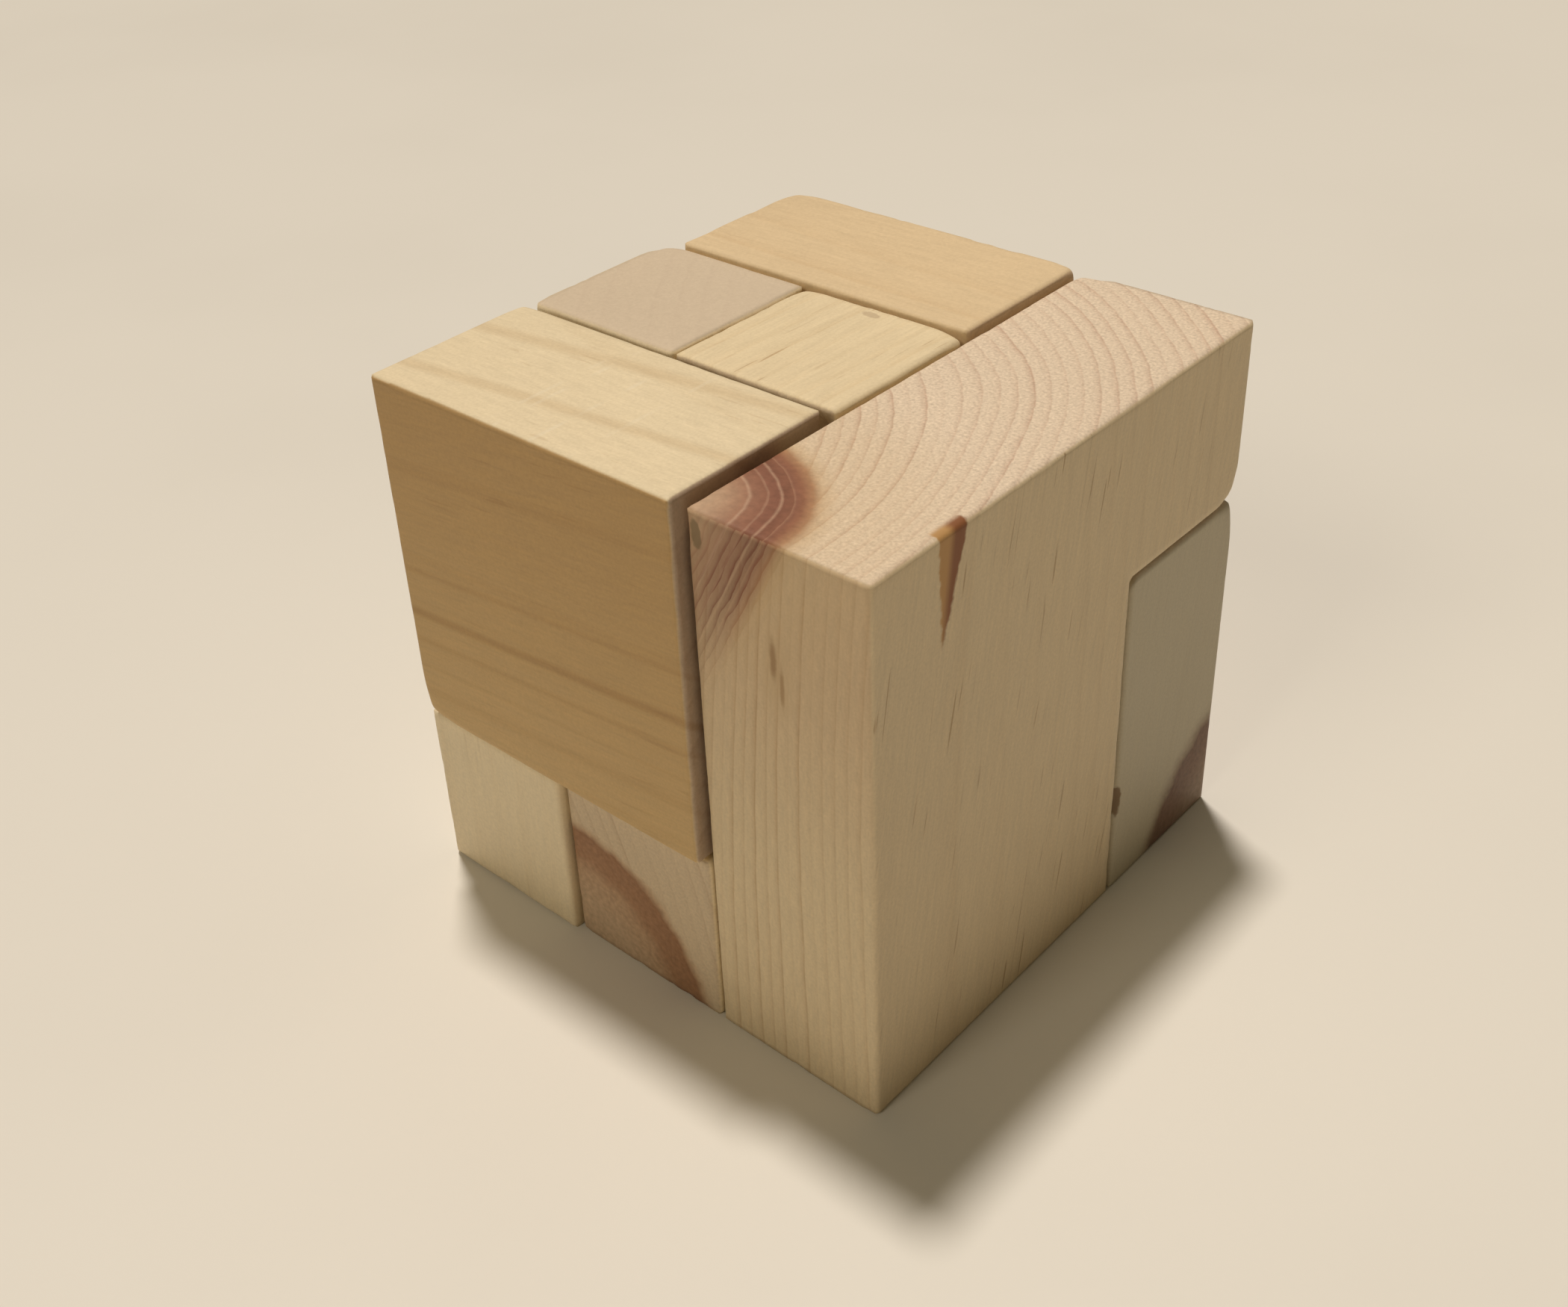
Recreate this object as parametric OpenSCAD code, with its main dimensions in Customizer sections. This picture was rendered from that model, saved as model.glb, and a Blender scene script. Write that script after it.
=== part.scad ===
// Dissection cube: six flat wooden pieces that stack into a cube three unit blocks wide.
// The cube stands on z = 0, centred on the origin. -Y is the face with the square piece,
// +X is the face of the notched plate, +Z is the top. Grid lines 0 to 3 run along each axis.

/* [Cube] */
// Edge of one unit block of the three by three by three grid
unit = 20; // [18:0.5:30]
// Chamfer that eases every edge of every piece
ease = 0.3; // [0.2:0.05:0.6]
// Slack between two neighbouring pieces
gap = 0.3; // [0.2:0.05:0.4]
// Radius of the inner corner of the notch, and of the domino corner that meets it
notch_r = 1.4; // [1:0.1:2]

/* [How the pieces sit] */
// How far the square piece stands out of the front face
square_out = 1.4; // [0:0.1:2]
// How far the square piece stands above the top face
square_up = 1.0; // [0.6:0.1:2]
// Turn of the square piece about the vertical, in degrees
square_turn = 0.5; // [0:0.1:0.8]
// How far the key piece stands above the top face
key_up = 0.8; // [0:0.1:2]
// How far the key piece is set back from the rear face
key_in = 0.7; // [0:0.1:1.5]
// How far the key piece's end is set back from the left face
key_left = 1.6; // [0:0.1:2]
// How far the stepped piece stands out of the front face
stepped_out = 0.8; // [0:0.1:2]
// How far the stepped piece stands out of the left face
stepped_left = 0.6; // [0:0.1:1]
// How far the tee and stepped pieces stand above the top face
tee_up = 0.35; // [0:0.05:0.6]
// Extra height of the two feet under the square piece
foot_up = 0.4; // [0:0.1:0.5]

/* [Hidden] */
slack = gap / 2;
square_slack = 0.2;
top = 3 * unit;
foot_top = unit + foot_up;
left = -stepped_left;
// The joint between the stepped and tee pieces lies a little left of its grid line
split = unit - stepped_left;
// How far a cutter or a joined solid reaches past the face it meets
overlap = 1;
arc_fn = 48;

// Near and far face of a block that starts or ends at an inner grid line
function from(i) = i * unit + slack;
function to(i) = i * unit - slack;

// A rectangle with its corners cut: a and b are [low, high] pairs
module eased_rect(a, b) {
    polygon([
        [a[0] + ease, b[0]], [a[1] - ease, b[0]], [a[1], b[0] + ease], [a[1], b[1] - ease],
        [a[1] - ease, b[1]], [a[0] + ease, b[1]], [a[0], b[1] - ease], [a[0], b[0] + ease]
    ]);
}

// A box with all its edges chamfered: x, y and z are [low, high] pairs on the cube's own grid
module block(x, y, z) {
    translate([-1.5 * unit, -1.5 * unit, 0])
        intersection() {
            translate([0, 0, z[0]])
                linear_extrude(z[1] - z[0]) eased_rect(x, y);
            translate([x[0], 0, 0])
                rotate([90, 0, 90])
                    linear_extrude(x[1] - x[0]) eased_rect(y, z);
            translate([0, y[1], 0])
                rotate([90, 0, 0])
                    linear_extrude(y[1] - y[0]) eased_rect(x, z);
        }
}

// Five units in a T: the bar lies along the floor, the stem stands in the middle of the cube
module tee_piece() {
    x = [split + slack, to(2)];
    color("burlywood") {
        block(x, [0, top - key_in], [0, to(1)]);
        block(x, [0, to(1)], [0, foot_top]);
        block(x, [from(1), to(2)], [0, top + tee_up]);
    }
}

// Six units: a T with one more unit in the angle at the back
module stepped_piece() {
    x = [left, split - slack];
    color("tan") {
        block(x, [-stepped_out, top - key_in], [0, to(1)]);
        block(x, [-stepped_out, to(1)], [0, foot_top]);
        block(x, [from(1), to(2)], [0, top + tee_up]);
        block(x, [from(1), top - key_in], [0, to(2)]);
    }
}

// Seven units: a three by three plate that lacks two units at the bottom of its rear edge
module notched_plate() {
    x = [from(2), top];
    color("wheat") {
        block(x, [0, to(2)], [0, top]);
        block(x, [0, top], [from(2), top]);
        corner_round([to(2), from(2)], [x[0] + ease, x[1] - ease]);
    }
}

// What lies between a square corner and its rounding, reaching `overlap` past both faces.
// The outline is in y and z, and turned to run along x from x[0] to x[1].
module corner_round(corner, x) {
    translate([x[0] - 1.5 * unit, corner[0] - 1.5 * unit, corner[1] - notch_r])
        rotate([90, 0, 90])
            linear_extrude(x[1] - x[0])
                difference() {
                    translate([-overlap, 0])
                        square(notch_r + overlap);
                    translate([notch_r, 0])
                        circle(notch_r, $fn = arc_fn);
                }
}

// Four units in a square, turned a little and standing proud of its neighbours
module square_piece() {
    mid = [-unit / 2, -unit - square_out + slack];
    color("navajowhite")
        translate([mid[0], mid[1], 0])
            rotate([0, 0, square_turn])
                translate([-mid[0], -mid[1], 0])
                    block(
                        [-slack, 2 * unit - slack - 2 * square_slack],
                        [-square_out, unit - square_out],
                        [foot_top + gap, top + square_up]
                    );
}

// Three units in an L, the last piece in and the first one out
module key_piece() {
    y = [from(2), top - key_in];
    color("sandybrown") {
        block([key_left, to(2)], y, [from(2), top + key_up]);
        block([split + slack, to(2)], y, [from(1), top + key_up]);
    }
}

// Two units that fill the plate's notch, with one corner rounded to match it
module domino_piece() {
    x = [from(2), top];
    y = [from(2), top];
    z = [0, to(2)];
    color("darkkhaki")
        difference() {
            block(x, y, z);
            corner_round([y[0], z[1]], [x[0] - overlap, x[1] + overlap]);
        }
}

tee_piece();
stepped_piece();
notched_plate();
square_piece();
key_piece();
domino_piece();
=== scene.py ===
import math

import bmesh
import bpy
import numpy as np
from mathutils import Matrix, Vector


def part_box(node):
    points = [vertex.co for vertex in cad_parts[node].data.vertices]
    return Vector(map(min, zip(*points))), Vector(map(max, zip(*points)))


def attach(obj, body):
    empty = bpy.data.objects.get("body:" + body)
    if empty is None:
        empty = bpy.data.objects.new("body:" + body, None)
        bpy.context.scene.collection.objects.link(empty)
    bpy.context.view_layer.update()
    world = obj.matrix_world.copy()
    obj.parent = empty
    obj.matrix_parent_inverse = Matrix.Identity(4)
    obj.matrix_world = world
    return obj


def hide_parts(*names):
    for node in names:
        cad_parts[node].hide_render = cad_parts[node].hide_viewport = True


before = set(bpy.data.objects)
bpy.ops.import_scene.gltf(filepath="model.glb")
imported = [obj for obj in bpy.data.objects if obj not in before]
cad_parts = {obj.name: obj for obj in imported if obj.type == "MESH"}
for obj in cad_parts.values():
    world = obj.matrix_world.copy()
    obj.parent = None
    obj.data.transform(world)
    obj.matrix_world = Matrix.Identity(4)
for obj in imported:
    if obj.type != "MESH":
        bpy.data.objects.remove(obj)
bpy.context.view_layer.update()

# Places on the object are in grid mm: x from the left face, y from the front face, z from the floor.
MM = 0.001
UNIT = 20                                           # edge of one block
CUBE = 3 * UNIT
GRID_CORNER = Vector((-CUBE / 2, -CUBE / 2, 0))     # the grid's zero in the row frame, in mm

# Wear of the meshes
WELD = 1e-6                 # points of a CAD mesh closer than this many metres are one point
OCTREE_DEPTH = 7            # the remesh cuts each piece into 2 ** 7 cells along its longest side
REMESH_FILL = 0.9           # share of the remesh's own box that the piece fills
SMOOTH_PASSES = 80
SMOOTH_STEP = 0.5           # the largest share of the way to its neighbours' middle in one pass
COARSE_WAVES = (7, 14)      # length in mm, and how many are summed
FINE_WAVES = (1.6, 40)
WAVE_GAIN = 2.2             # brings the mean of the waves to about -1 to 1
MOST_WAVE = 2               # where the sum of the coarse and fine noise is cut off

# The grain of every wood. Noise along the fibres changes this much slower than across them:
FIBRE_STRETCH = 0.12
THREAD_STRETCH = 0.04
DASH_STRETCH = 0.05
SEED_SHIFT = Vector((7.3, 3.1, 5.7))    # how far one step of a wood's seed moves its noise, in mm
END_GRAIN = (0.55, 0.9)                 # cosines between normal and grain where end grain starts and is full
ON_FACE = (0.5, 0.9)                    # the same for a face that points along a direction
EARLY_TO_LATE = ((0.0, 0.0), (0.5, 0.1), (0.8, 0.55), (0.9, 1.0), (1.0, 0.0))     # across one ring
KNOT_LINE_SPACING = 0.8                 # mm
PATCH_DEPTH = 0.1                       # how much the slow patches lighten and darken
SIDE_SPECKLE = 0.22                     # how much the pores do so, off the end grain
DASH_TINT = (0.6, 0.48, 0.38)
# Lighter convex edges: partly wear, partly a painted highlight
WEAR_AND_HIGHLIGHT_TINT = (1.1, 1.07, 1.0)
# Darker hollows and inside corners: partly grime, partly painted shade
GRIME_AND_SHADE_TINT = (0.6, 0.5, 0.4)
ROUGHNESS = 0.6
RELIEF = 0.12                           # strength of the bump
RELIEF_DEPTH = 0.25                     # mm


# ---------------------------------------------------------------- worn wooden solids

def dense_mesh(node):
    """The CAD node's solid as an even mesh of small quads, fine enough to wear at its edges."""
    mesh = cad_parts[node].data.copy()
    bm = bmesh.new()
    bm.from_mesh(mesh)
    bmesh.ops.remove_doubles(bm, verts=bm.verts, dist=WELD)
    bm.to_mesh(mesh)
    bm.free()
    mesh.materials.clear()
    holder = bpy.data.objects.new(node + "_solid", mesh)
    bpy.context.scene.collection.objects.link(holder)
    remesh = holder.modifiers.new("even", "REMESH")
    remesh.mode = "SHARP"
    remesh.octree_depth = OCTREE_DEPTH
    remesh.scale = REMESH_FILL
    remesh.use_remove_disconnected = False
    bpy.context.view_layer.update()
    graph = bpy.context.evaluated_depsgraph_get()
    dense = bpy.data.meshes.new_from_object(holder.evaluated_get(graph))
    bpy.data.objects.remove(holder)
    return dense


def wave_noise(points, length, count, seed):
    """Smooth noise of about -1 to 1: the mean of `count` seeded sine waves about `length` mm long."""
    draw = np.random.RandomState(seed)
    directions = draw.normal(size=(count, 3)) * (2 * math.pi / length) / math.sqrt(3)
    phases = draw.uniform(0, 2 * math.pi, count)
    return np.sin(points @ directions.T + phases).mean(1) * WAVE_GAIN


def wear_shares(points, seed, base, uneven, corners):
    """How far each point moves in one smoothing pass: uneven, and most at the (place, mm, share) corners."""
    waves = wave_noise(points, *COARSE_WAVES, seed) + wave_noise(points, *FINE_WAVES, seed + 1)
    shares = base + uneven * np.clip(waves, 0, MOST_WAVE)
    for place, reach, strength in corners:
        squared_distance = ((points - np.array(place)) ** 2).sum(1)
        shares += strength * np.exp(-squared_distance / reach ** 2)
    return np.clip(shares, 0, 1)[:, None] * SMOOTH_STEP


def smooth(points, mesh, shares):
    """Moves every point toward the middle of its neighbours, pass by pass, which rounds the edges."""
    ends = np.empty(len(mesh.edges) * 2, dtype=np.int64)
    mesh.edges.foreach_get("vertices", ends)
    first, second = ends.reshape(-1, 2).T
    here = np.concatenate([first, second])
    there = np.concatenate([second, first])
    count = len(points)
    neighbours = np.bincount(here, minlength=count)[:, None]
    for _ in range(SMOOTH_PASSES):
        total = np.stack([np.bincount(here, points[there, axis], count) for axis in range(3)], 1)
        points += shares * (total / neighbours - points)


def press(points, dents):
    """Pushes in dents, each given by its middle, its reach and its push, along x, y and z in mm."""
    for place, reach, push in dents:
        falloff = np.exp(-(((points - np.array(place)) / np.array(reach)) ** 2).sum(1))
        points += falloff[:, None] * np.array(push)


def wear(mesh, node, seed, base, uneven, corners, dents):
    """Wears the mesh's edges and corners, and keeps it inside the CAD node's box."""
    points = np.empty(len(mesh.vertices) * 3)
    mesh.vertices.foreach_get("co", points)
    points = points.reshape(-1, 3) / MM - np.array(GRID_CORNER)
    smooth(points, mesh, wear_shares(points, seed, base, uneven, corners))
    press(points, dents)
    low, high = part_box(node)
    points = np.clip((points + np.array(GRID_CORNER)) * MM, low, high)
    mesh.vertices.foreach_set("co", points.ravel())
    mesh.update()


def wooden_piece(node, body, material, seed, base=0.004, uneven=0.02, corners=(), dents=()):
    """Replaces a CAD node by its worn and grained twin, riding on the same body."""
    mesh = dense_mesh(node)
    wear(mesh, node, seed, base, uneven, corners, dents)
    mesh.shade_smooth()
    mesh.materials.append(material)
    piece = bpy.data.objects.new(node + "_wood", mesh)
    bpy.context.scene.collection.objects.link(piece)
    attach(piece, body)
    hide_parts(node)


# ---------------------------------------------------------------- node helpers

class Value:
    """A number that a material's nodes work out; plain arithmetic with it adds Math nodes."""

    def __init__(self, shader, socket):
        self.shader = shader
        self.socket = socket

    def __add__(self, other):
        return self.shader.math("ADD", self, other)

    def __sub__(self, other):
        return self.shader.math("SUBTRACT", self, other)

    def __rsub__(self, other):
        return self.shader.math("SUBTRACT", other, self)

    def __mul__(self, other):
        return self.shader.math("MULTIPLY", self, other)

    def __truediv__(self, other):
        return self.shader.math("DIVIDE", self, other)

    def __abs__(self):
        return self.shader.math("ABSOLUTE", self)

    def clamped(self):
        """The result of the last sum, product or quotient, kept within 0 to 1."""
        self.socket.node.use_clamp = True
        return self


class Shader:
    """Short calls that add nodes to one material. Arguments are constants, sockets or Values."""

    def __init__(self, name):
        self.material = bpy.data.materials.new(name)
        self.material.use_nodes = True
        self.nodes = self.material.node_tree.nodes
        self.links = self.material.node_tree.links
        self.bsdf = self.nodes["Principled BSDF"]

    def feed(self, value, socket):
        if isinstance(value, Value):
            self.links.new(value.socket, socket)
        elif isinstance(value, bpy.types.NodeSocket):
            self.links.new(value, socket)
        elif socket.type == "RGBA":
            socket.default_value = (*value, 1)
        else:
            socket.default_value = value

    def math(self, operation, a, b=0.0):
        node = self.nodes.new("ShaderNodeMath")
        node.operation = operation
        self.feed(a, node.inputs[0])
        self.feed(b, node.inputs[1])
        return Value(self, node.outputs[0])

    def vector_outputs(self, operation, a, b=(0, 0, 0)):
        node = self.nodes.new("ShaderNodeVectorMath")
        node.operation = operation
        self.feed(a, node.inputs[0])
        self.feed(b, node.inputs["Scale"] if operation == "SCALE" else node.inputs[1])
        return node.outputs

    def vector(self, operation, a, b):
        return self.vector_outputs(operation, a, b)["Vector"]

    def dot(self, a, b):
        return Value(self, self.vector_outputs("DOT_PRODUCT", a, b)["Value"])

    def length(self, a):
        return Value(self, self.vector_outputs("LENGTH", a)["Value"])

    def parts(self, vector):
        node = self.nodes.new("ShaderNodeSeparateXYZ")
        self.feed(vector, node.inputs[0])
        return [Value(self, part) for part in node.outputs]

    def step(self, value, low, high):
        """0 below low, 1 above high and smooth between; the other way round if low > high."""
        node = self.nodes.new("ShaderNodeMapRange")
        node.interpolation_type = "SMOOTHSTEP"
        self.feed(value, node.inputs["Value"])
        node.inputs["From Min"].default_value = min(low, high)
        node.inputs["From Max"].default_value = max(low, high)
        node.inputs["To Min"].default_value = 0.0 if low < high else 1.0
        node.inputs["To Max"].default_value = 1.0 if low < high else 0.0
        return Value(self, node.outputs["Result"])

    def noise(self, vector, scale, detail=2.0):
        """Noise of about -0.5 to 0.5, with features about 1/scale mm across."""
        node = self.nodes.new("ShaderNodeTexNoise")
        self.feed(vector, node.inputs["Vector"])
        node.inputs["Scale"].default_value = scale
        node.inputs["Detail"].default_value = detail
        return Value(self, node.outputs["Fac"]) - 0.5

    def mix(self, factor, a, b):
        node = self.nodes.new("ShaderNodeMix")
        node.data_type = "RGBA"
        self.feed(factor, node.inputs["Factor"])
        self.feed(a, node.inputs["A"])
        self.feed(b, node.inputs["B"])
        return next(socket for socket in node.outputs if socket.type == "RGBA")

    def tint(self, cover, colour, tint):
        """The colour, multiplied by the tint where it is covered."""
        return self.mix(cover, colour, self.vector("MULTIPLY", colour, tint))

    def ramp(self, value, stops):
        """The colour and cover at a value from 0 to 1, through (position, colour, cover) stops."""
        node = self.nodes.new("ShaderNodeValToRGB")
        self.feed(value, node.inputs["Fac"])
        elements = node.color_ramp.elements
        while len(elements) < len(stops):
            elements.new(0.5)
        for element, (position, colour, cover) in zip(elements, stops):
            element.position = position
            element.color = (*colour, cover)
        return node.outputs["Color"], Value(self, node.outputs["Alpha"])


# ---------------------------------------------------------------- solid wood

class Wood(Shader):
    """Wood that fills the piece: rings round a pith line, fibres along it, end grain across it."""

    def __init__(self, name, grain, pith, seed, oval=(1, 1, 1), lean=None, branch=None):
        """`oval` squashes the rings, `lean` tilts the fibres and `branch` is a knot's swell."""
        super().__init__(name)
        coords = self.nodes.new("ShaderNodeTexCoord")
        millimetres = self.vector("SCALE", coords.outputs["Object"], 1 / MM)
        self.point = self.vector("SUBTRACT", millimetres, GRID_CORNER)
        self.normal = coords.outputs["Normal"]
        self.seed = seed
        grain = Vector(grain).normalized()
        across, _ = self.split(pith, grain)
        self.radius = self.length(self.vector("MULTIPLY", across, oval))
        if branch:
            self.radius = self.radius - self.swell(**branch)
        self.lean = Vector(lean or grain).normalized()
        self.fibre = self.stretched(FIBRE_STRETCH)
        self.end = self.step(self.facing(grain), *END_GRAIN)
        self.side = 1 - self.end

    def split(self, origin, axis):
        """The point's offset from a line, and how far along the line it is."""
        arm = self.vector("SUBTRACT", self.point, Vector(origin))
        along = self.dot(arm, axis)
        return self.vector("SUBTRACT", arm, self.vector("SCALE", axis, along)), along

    def stretched(self, factor):
        """Coordinates that change slowly along the fibres, so noise in them looks like fibres."""
        across, along = self.split((0, 0, 0), self.lean)
        slow = self.vector("ADD", across, self.vector("SCALE", self.lean, along * factor))
        return self.vector("ADD", slow, SEED_SHIFT * self.seed)

    def facing(self, direction):
        """The cosine between the surface's normal and a direction or its opposite."""
        return abs(self.dot(self.normal, direction))

    def front(self):
        """1 on the faces that point to the front and 0 on the others."""
        start, full = ON_FACE
        return self.step(self.parts(self.normal)[1], -start, -full)

    def swell(self, centre, axis, width, height):
        """How far a branch pushes the rings outward."""
        across, _ = self.split(centre, Vector(axis).normalized())
        near = self.length(across) / width
        return self.math("EXPONENT", near * near * -1.0) * height

    def latewood(self, turn):
        """From 0 in early wood to 1 in late wood, by how many rings out the point is."""
        stops = [(position, (1, 1, 1), level) for position, level in EARLY_TO_LATE]
        _, late = self.ramp(self.math("FRACT", turn), stops)
        return late

    def rings(self, spacing, wobble):
        """Latewood from 0 to 1, in rings `spacing` mm apart that wander by about `wobble` mm."""
        wander = self.noise(self.fibre, 0.05, 1.0) * (wobble * 2)
        ripple = self.noise(self.fibre, 0.7, 1.0) * 0.3
        turn = (self.radius + wander + ripple) / spacing
        year = self.nodes.new("ShaderNodeTexWhiteNoise")
        year.noise_dimensions = "1D"
        self.feed(self.math("FLOOR", turn), year.inputs["W"])
        strength = Value(self, year.outputs["Value"]) * 0.8 + 0.2
        broken = (self.noise(self.point, 0.35) * 1.6 + 0.9).clamped()
        return self.latewood(turn) * strength * broken

    def dashes(self, dashed):
        """Short resin canals along the fibres, from 0 to 1, in loose groups on the faces `dashed`."""
        dash = self.step(self.noise(self.stretched(DASH_STRETCH), 2.2, 0.0), 0.215, 0.275)
        grouped = self.step(self.noise(self.point, 0.12, 1.0), -0.08, 0.12)
        return dash * grouped * self.side * self.step(self.facing(dashed), *ON_FACE)

    def body(self, early, late, end_early, end_late, spacing, contrast, end_contrast, wobble=1.0,
             flecks=0.35, fibre=0.16, speckle=0.3, quiet=(0, 0, 0), dashed=(1, 1, 1)):
        """The clean wood's colour: rings that fade on faces along `quiet`, fibres, patches and dashes."""
        ring = self.rings(spacing, wobble)
        side_contrast = contrast - self.facing(quiet) * contrast
        side_grain = self.mix(ring * side_contrast, early, late)
        end_grain = self.mix(ring * end_contrast, end_early, end_late)
        colour = self.mix(self.end, side_grain, end_grain)
        self.fibres = self.noise(self.fibre, 1.8, 3.0)
        self.pores = self.noise(self.point, 3.2)
        threads = self.noise(self.stretched(THREAD_STRETCH), 4.5)
        patches = self.noise(self.point, 0.045)
        shade = self.fibres * fibre + threads * fibre + patches * PATCH_DEPTH
        colour = self.vector("SCALE", colour, shade + 1)
        colour = self.tint(self.dashes(dashed) * flecks, colour, DASH_TINT)
        grit = self.pores * (self.end * speckle + self.side * SIDE_SPECKLE)
        return self.vector("SCALE", colour, grit + 1)

    def heart(self, colour, centre, axis, stops, ragged=0.6, streaks=0.25, cover=1.0):
        """Heartwood or a knot: a stain by distance from a line, through (mm, colour, cover) stops."""
        axis = Vector(axis).normalized()
        across, along = self.split(centre, axis)
        slow = self.vector("ADD", across, self.vector("SCALE", axis, along * FIBRE_STRETCH))
        away = self.length(across) + self.noise(slow, 0.3, 3.0) * (ragged * 2)
        reach = stops[-1][0]
        stain, amount = self.ramp(away / reach, [(distance / reach, *rest) for distance, *rest in stops])
        streaked = self.vector("SCALE", stain, self.noise(slow, 1.6) * (streaks * 2) + 1)
        return self.mix((amount * cover).clamped(), colour, streaked)

    def knot_lines(self, centre, axis):
        """Thin lines from 0 to 1 along a knot's axis, where a face cuts the knot lengthwise."""
        across, _ = self.split(centre, Vector(axis).normalized())
        away = self.length(across) + self.noise(self.point, 0.25) * 0.9
        patchy = (self.noise(self.point, 0.4) + 0.45).clamped()
        return self.latewood(away / KNOT_LINE_SPACING) * patchy

    def spot(self, colour, centre, reach, stain, ragged=0.5, strength=1.0, soft=0.4):
        """A stain or bark fleck: a ragged ellipsoid with half-axes `reach`."""
        arm = self.vector("SUBTRACT", self.point, Vector(centre))
        away = self.length(self.vector("DIVIDE", arm, Vector(reach)))
        away = away + self.noise(self.point, 0.9) * (ragged * 2)
        inside = self.step(away, 1 + soft / 2, 1 - soft / 2)
        return self.mix(inside * strength, colour, stain)

    def wear_grime_and_painted_shading(self, colour):
        """Lightens the edges, with wear and a painted highlight, and darkens the hollows, with grime and
        painted shade.
        """
        geometry = self.nodes.new("ShaderNodeNewGeometry")
        shape = Value(self, geometry.outputs["Pointiness"])
        patchy = (self.noise(self.point, 0.5) * 1.5 + 0.6).clamped()
        # Lighter convex edges: partly wear, partly a painted highlight
        worn = self.step(shape, 0.53, 0.62) * patchy
        # Darker hollows: partly grime, partly painted shade
        grime_and_shade = self.step(shape, 0.47, 0.4) * 0.5
        return self.tint(grime_and_shade, self.tint(worn, colour, WEAR_AND_HIGHLIGHT_TINT), GRIME_AND_SHADE_TINT)

    def finish(self, colour):
        """Feeds the colour and the relief of the sawn and sanded surface to the shader."""
        bump = self.nodes.new("ShaderNodeBump")
        bump.inputs["Strength"].default_value = RELIEF
        bump.inputs["Distance"].default_value = RELIEF_DEPTH * MM
        self.feed(self.fibres * 0.48 + self.pores * 0.24, bump.inputs["Height"])
        self.feed(bump.outputs["Normal"], self.bsdf.inputs["Normal"])
        # The colour with a painted highlight on the worn edges and painted shade in the grimy hollows
        self.feed(self.wear_grime_and_painted_shading(colour), self.bsdf.inputs["Base Color"])
        self.feed(self.fibres * 0.25 + ROUGHNESS, self.bsdf.inputs["Roughness"])
        self.bsdf.inputs["Specular IOR Level"].default_value = 0.3
        return self.material


# ---------------------------------------------------------------- the six woods

# The square piece's darker bands, as (distance through the wood, half width, depth), in mm
LATE_BANDS = ((32.8, 0.9, 0.55), (38.0, 0.6, 0.25), (29.4, 0.6, 0.2), (25.9, 0.5, 0.16), (22.6, 0.9, 0.2),
              (50.0, 0.7, 0.12), (62.8, 1.1, 0.35), (70.8, 1.2, 0.35))
BAND_TINT = (0.72, 0.62, 0.50)
# Pale marks that the planer left across its top, by x in mm
PLANER_MARKS = (16.3, 17.6, 22.4, 27.4)
PLANER_PALE = (0.93, 0.85, 0.68)
# Painted shade on its front face, which darkens it against the top and more so high up: the tint low down
# and high up
FRONT_SHADE_LOW = (0.73, 0.60, 0.42)
FRONT_SHADE_HIGH = (0.635, 0.485, 0.315)


def plate_wood():
    knot = {"centre": (36, 0, CUBE), "axis": (0.465, 0, 0.885)}
    wood = Wood("plate_wood", grain=(0, 0, 1), pith=(22, 4, 0), seed=1, oval=(1, 0.85, 1),
                lean=(0, 0.18, 1), branch={**knot, "width": 16, "height": 5.5})
    colour = wood.body(early=(0.74, 0.595, 0.39), late=(0.52, 0.35, 0.19),
                       end_early=(0.785, 0.64, 0.485), end_late=(0.57, 0.385, 0.275),
                       spacing=1.5, contrast=0.8, end_contrast=1.0, wobble=1.2, flecks=0.7, speckle=0.75,
                       quiet=(0.75, 0, 0), dashed=(1, 0, 0))
    _, _, z = wood.parts(wood.point)
    # Painted shade: the front face darker and browner from about 22 mm up
    colour = wood.tint(wood.front() * wood.step(z, 22, 52), colour, (0.90, 0.84, 0.82))
    stained = wood.step(z, 40, 58) * 0.72
    lined = wood.knot_lines(**knot) * wood.step(z, 36, 54)
    colour = wood.heart(colour, **knot, ragged=0.3, cover=(wood.end + (stained + lined)).clamped(), stops=(
        (0.0, (0.56, 0.38, 0.23), 0.6),
        (5.2, (0.50, 0.32, 0.20), 0.9),
        (7.7, (0.38, 0.20, 0.125), 1.0),
        (7.9, (0.50, 0.31, 0.21), 1.0),
        (8.15, (0.33, 0.16, 0.10), 1.0),
        (9.2, (0.29, 0.13, 0.08), 1.0),
        (9.35, (0.40, 0.22, 0.145), 1.0),
        (9.5, (0.28, 0.12, 0.075), 1.0),
        (10.25, (0.25, 0.105, 0.065), 1.0),
        (10.45, (0.44, 0.26, 0.175), 1.0),
        (10.65, (0.24, 0.10, 0.06), 1.0),
        (11.4, (0.26, 0.11, 0.065), 1.0),
        (11.5, (0.36, 0.18, 0.11), 1.0),
        (11.65, (0.27, 0.115, 0.07), 1.0),
        (12.2, (0.31, 0.135, 0.075), 1.0),
        (13.0, (0.42, 0.22, 0.11), 0.95),
        (13.8, (0.58, 0.39, 0.20), 0.6),
        (15.2, (0.66, 0.48, 0.26), 0.3),
        (20.0, (0.66, 0.48, 0.26), 0.22),
        (27.0, (0.70, 0.55, 0.34), 0.0)))
    colour = smear(wood, colour)
    colour = wood.spot(colour, (41.1, 0, 57.6), (0.6, 1.0, 1.5), (0.25, 0.18, 0.10), strength=0.8)
    return wood.finish(resin_streak(wood, colour))


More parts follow.
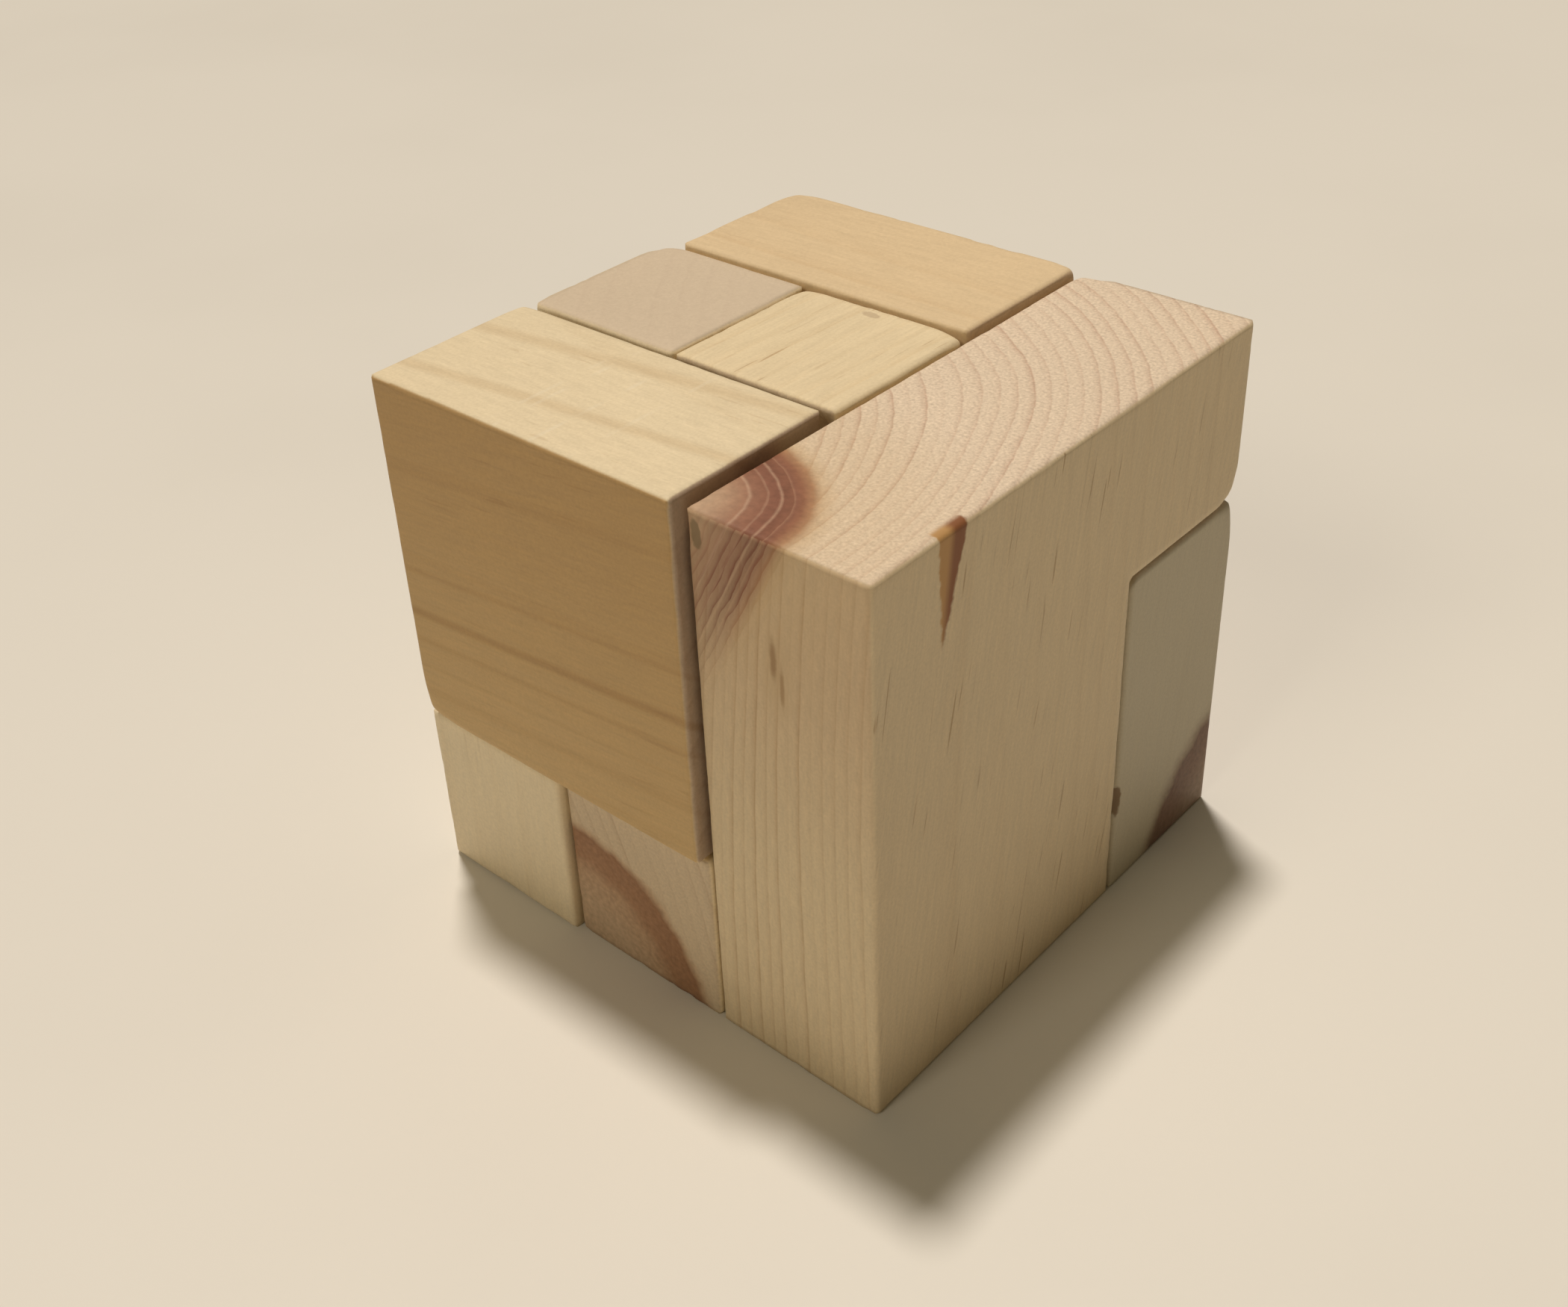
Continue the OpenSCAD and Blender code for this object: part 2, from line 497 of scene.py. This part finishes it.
def smear(wood, colour):
    """A pale brown patch under the knot, with two thin dark threads in it."""
    colour = wood.spot(colour, (49.8, 0, 46.6), (1.5, 1.5, 4.2), (0.60, 0.44, 0.26), strength=0.5, soft=1.2)
    colour = wood.spot(colour, (49.4, 0, 48.4), (0.35, 1.5, 1.9), (0.33, 0.19, 0.085), ragged=0.4,
                       strength=0.75, soft=1.2)
    return wood.spot(colour, (50.3, 0, 45.8), (0.25, 1.5, 1.9), (0.36, 0.21, 0.095), ragged=0.4,
                     strength=0.65, soft=1.2)


def resin_streak(wood, colour):
    """A wedge of dark resin that starts on the top edge and narrows down the right face."""
    tip = 48.4
    x, y, z = wood.parts(wood.point)
    rise = ((z - tip) / (CUBE - tip)).clamped()
    off = y - (rise * 1.5 + 9.3)
    reach = rise * 2.0 - (abs(off) + wood.noise(wood.point, 0.8) * 0.9)
    inside = wood.step(reach, -0.2, 0.25) * wood.step(x, CUBE - 1.4, CUBE - 0.6)
    tone = wood.mix(wood.step(off, -0.6, 0.6), (0.53, 0.30, 0.115), (0.275, 0.108, 0.042))
    return wood.mix(inside * wood.step(z, tip, tip + 1.6), colour, tone)


def square_wood():
    wood = Wood("square_wood", grain=(1, 0.03, 0.1), pith=(0, 42, -22), seed=2)
    colour = wood.body(early=(0.82, 0.685, 0.465), late=(0.66, 0.49, 0.28),
                       end_early=(0.50, 0.375, 0.27), end_late=(0.36, 0.245, 0.17),
                       spacing=4.3, contrast=0.2, end_contrast=0.5, wobble=2.2, flecks=0.2)
    x, y, z = wood.parts(wood.point)
    level = z - x * 0.098 + y * 0.8 + wood.noise(wood.fibre, 0.12) * 1.2
    for place, half_width, depth in LATE_BANDS:
        band = wood.step(abs(level - place) / half_width, 1.0, 0.1)
        colour = wood.tint(band * depth, colour, BAND_TINT)
    on_top = wood.step(z, CUBE, CUBE + 0.8)
    for place in PLANER_MARKS:
        mark = wood.step(abs(x - place), 0.35, 0.1)
        patchy = wood.step(wood.noise(wood.point, 0.25), -0.1, 0.15)
        colour = wood.mix(mark * patchy * on_top * 0.2, colour, PLANER_PALE)
    # Painted shade: the front face is multiplied to a darker, more orange tone, darkest toward the top
    front_shade = wood.mix(wood.step(z, 16, 64), FRONT_SHADE_LOW, FRONT_SHADE_HIGH)
    return wood.finish(wood.tint(wood.front(), colour, front_shade))


def tee_wood():
    wood = Wood("tee_wood", grain=(0.02, 1, 0.02), pith=(-40, 0, -10), seed=3)
    colour = wood.body(early=(0.82, 0.675, 0.445), late=(0.68, 0.50, 0.28),
                       end_early=(0.635, 0.50, 0.34), end_late=(0.48, 0.34, 0.22),
                       spacing=1.9, contrast=0.45, end_contrast=0.7, flecks=0.6, speckle=0.35)
    colour = wood.heart(colour, centre=(20.2, 0, -3.2), axis=(0, 1, 0), ragged=1.1, streaks=0.4, stops=(
        (0.0, (0.54, 0.38, 0.245), 0.9),
        (8.0, (0.52, 0.36, 0.23), 0.9),
        (12.0, (0.47, 0.30, 0.18), 0.95),
        (14.0, (0.36, 0.195, 0.105), 1.0),
        (17.2, (0.32, 0.165, 0.085), 1.0),
        (18.0, (0.45, 0.28, 0.16), 0.6),
        (19.0, (0.62, 0.47, 0.31), 0.0)))
    return wood.finish(wood.spot(colour, (29.4, 38.3, 60.3), (1.2, 0.5, 1), (0.45, 0.32, 0.2), strength=0.5))


def stepped_wood():
    wood = Wood("stepped_wood", grain=(0.02, 0.03, 1), pith=(70, 75, 0), seed=4)
    return wood.finish(wood.body(early=(0.82, 0.685, 0.47), late=(0.68, 0.52, 0.31),
                                 end_early=(0.68, 0.555, 0.41), end_late=(0.60, 0.47, 0.35), spacing=2.4,
                                 contrast=0.4, end_contrast=0.3, flecks=0.1, fibre=0.1, speckle=0.14))


def key_wood():
    wood = Wood("key_wood", grain=(1, 0.02, 0.02), pith=(0, 70, 10), seed=5)
    return wood.finish(wood.body(early=(0.76, 0.585, 0.365), late=(0.67, 0.47, 0.26),
                                 end_early=(0.62, 0.46, 0.30), end_late=(0.48, 0.33, 0.2), spacing=3.2,
                                 contrast=0.4, end_contrast=0.5, wobble=1.6, flecks=0.08, fibre=0.12))


def domino_wood():
    wood = Wood("domino_wood", grain=(0, 0.16, 1), pith=(20, 90, 0), seed=6)
    colour = wood.body(early=(0.56, 0.49, 0.355), late=(0.50, 0.42, 0.30),
                       end_early=(0.60, 0.52, 0.40), end_late=(0.48, 0.4, 0.3),
                       spacing=2.2, contrast=0.25, end_contrast=0.5, flecks=0.1, fibre=0.1)
    colour = wood.heart(colour, centre=(CUBE, 66, -6), axis=(1, 0, 0), ragged=1.0, streaks=0.35, stops=(
        (0.0, (0.34, 0.235, 0.165), 0.85),
        (12.0, (0.32, 0.21, 0.145), 0.9),
        (15.5, (0.25, 0.15, 0.10), 1.0),
        (18.4, (0.21, 0.12, 0.078), 1.0),
        (19.6, (0.36, 0.27, 0.18), 0.7),
        (21.5, (0.50, 0.43, 0.32), 0.0)))
    return wood.finish(wood.spot(colour, (CUBE, 40.6, 12), (1.6, 0.6, 2.0), (0.24, 0.16, 0.09)))


# ---------------------------------------------------------------- pieces

wooden_piece("notched_plate", "plate", plate_wood(), seed=11,
             corners=[((CUBE, CUBE, 2 * UNIT), 2.2, 0.3), ((41, CUBE, CUBE), 1.5, 0.12)],
             dents=[((41, -0.2, 57.4), (0.7, 0.7, 1.5), (0.15, 0.35, 0))])
wooden_piece("square_piece", "square", square_wood(), seed=21,
             corners=[((0, -1, 21), 2.4, 0.35), ((0, 19, 61), 1.8, 0.12)])
wooden_piece("tee_piece", "tee", tee_wood(), seed=31,
             corners=[((UNIT, 2 * UNIT, CUBE), 1.6, 0.08), ((2 * UNIT, 2 * UNIT, CUBE), 1.8, 0.15)])
wooden_piece("stepped_piece", "stepped", stepped_wood(), seed=41,
             corners=[((-0.6, 2 * UNIT, CUBE), 1.8, 0.18)])
wooden_piece("key_piece", "key", key_wood(), seed=51, uneven=0.06,
             corners=[((1.6, 59.3, 61), 2, 0.3), ((2 * UNIT, 59.3, 61), 1.5, 0.15)])
wooden_piece("domino_piece", "domino", domino_wood(), seed=61,
             corners=[((CUBE, CUBE, 2 * UNIT), 2.5, 0.35)],
             dents=[((CUBE, 40.3, 12), (0.9, 0.6, 1.8), (-0.4, 0.3, 0))])


# ---------------------------------------------------------------- floor, light and camera

def floor():
    bpy.ops.mesh.primitive_plane_add(size=8)
    plane = bpy.context.object
    plane.name = "floor"
    shader = Shader("floor_surface")
    coords = shader.nodes.new("ShaderNodeTexCoord")
    cloud = shader.step(shader.noise(coords.outputs["Object"], 9.0, 4.0), -0.1, 0.25)
    colour = shader.mix(cloud, (0.80, 0.765, 0.70), (0.775, 0.74, 0.675))
    shader.feed(colour, shader.bsdf.inputs["Base Color"])
    shader.bsdf.inputs["Roughness"].default_value = 0.5
    shader.bsdf.inputs["Specular IOR Level"].default_value = 0.25
    plane.data.materials.append(shader.material)


def sun(name, toward, strength, colour, softness):
    """A distant lamp: `toward` points from the object to the lamp; softness is its width in degrees."""
    light = bpy.data.lights.new(name, "SUN")
    light.energy = strength
    light.color = colour
    light.angle = math.radians(softness)
    lamp = bpy.data.objects.new(name, light)
    lamp.rotation_euler = Vector(toward).to_track_quat("Z", "Y").to_euler()
    bpy.context.scene.collection.objects.link(lamp)


def studio():
    """Warm light from above, a weak fill from the front and a dim warm room."""
    sun("key", toward=(-0.205, 0.125, 1), strength=2.4, colour=(1.0, 0.925, 0.84), softness=6)
    sun("front_fill", toward=(-0.05, -1, 0.8), strength=0.5, colour=(1.0, 0.92, 0.74), softness=20)
    world = bpy.data.worlds.new("studio")
    world.use_nodes = True
    background = world.node_tree.nodes["Background"]
    background.inputs["Color"].default_value = (1.0, 0.82, 0.5, 1)
    background.inputs["Strength"].default_value = 0.1
    bpy.context.scene.world = world
    bpy.context.scene.view_settings.view_transform = "Standard"


def camera():
    """A close phone-like view, a little from above, on to the edge between the front and right faces."""
    place = Vector((103.1, -119.75, 135.9)) * MM
    heading = math.radians(43.40)
    dip = math.radians(31.97)
    roll = math.radians(-3.05)
    data = bpy.data.cameras.new("camera")
    data.lens = 41.2
    data.sensor_width = 36
    data.shift_x = 0.0173
    data.shift_y = -0.0658
    data.clip_start = 0.01
    view = bpy.data.objects.new("camera", data)
    turn = Matrix.Rotation(heading, 4, "Z") @ Matrix.Rotation(math.pi / 2 - dip, 4, "X")
    view.matrix_world = Matrix.Translation(place) @ turn @ Matrix.Rotation(roll, 4, "Z")
    bpy.context.scene.collection.objects.link(view)
    bpy.context.scene.camera = view


floor()
studio()
camera()
